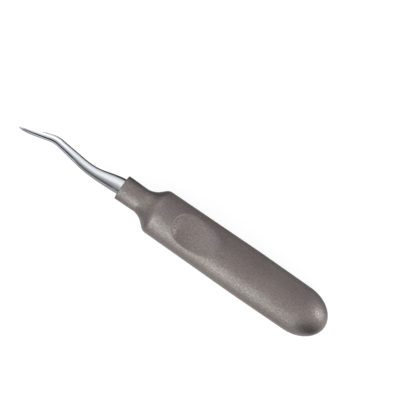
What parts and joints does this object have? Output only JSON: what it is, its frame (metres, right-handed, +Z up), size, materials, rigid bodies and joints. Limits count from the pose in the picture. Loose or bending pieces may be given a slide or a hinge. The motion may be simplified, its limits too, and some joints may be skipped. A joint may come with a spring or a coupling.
{
  "type": "luxating elevator",
  "caption": "Dental luxating elevator: round hollow steel handle with a thumb recess, swan-necked tapering shank and hollow-ground spoon blade.",
  "frame": {"origin": "middle of the instrument's box, on the surface that it lies on", "axes": "+X along the instrument from the blade to the domed butt, +Z up out of the thumb recess; the handle's axis drops 0.54 degrees towards the blade, because the tapered grip lies flat"},
  "size_m": [0.1502, 0.021, 0.021],
  "materials": {
    "polished_steel": "polished stainless steel",
    "blasted_steel": "fine bead-blasted stainless steel, satin warm grey"
  },
  "bodies": {
    "root": {"blade": "polished_steel", "handle": "blasted_steel"}
  },
  "joints": []
}
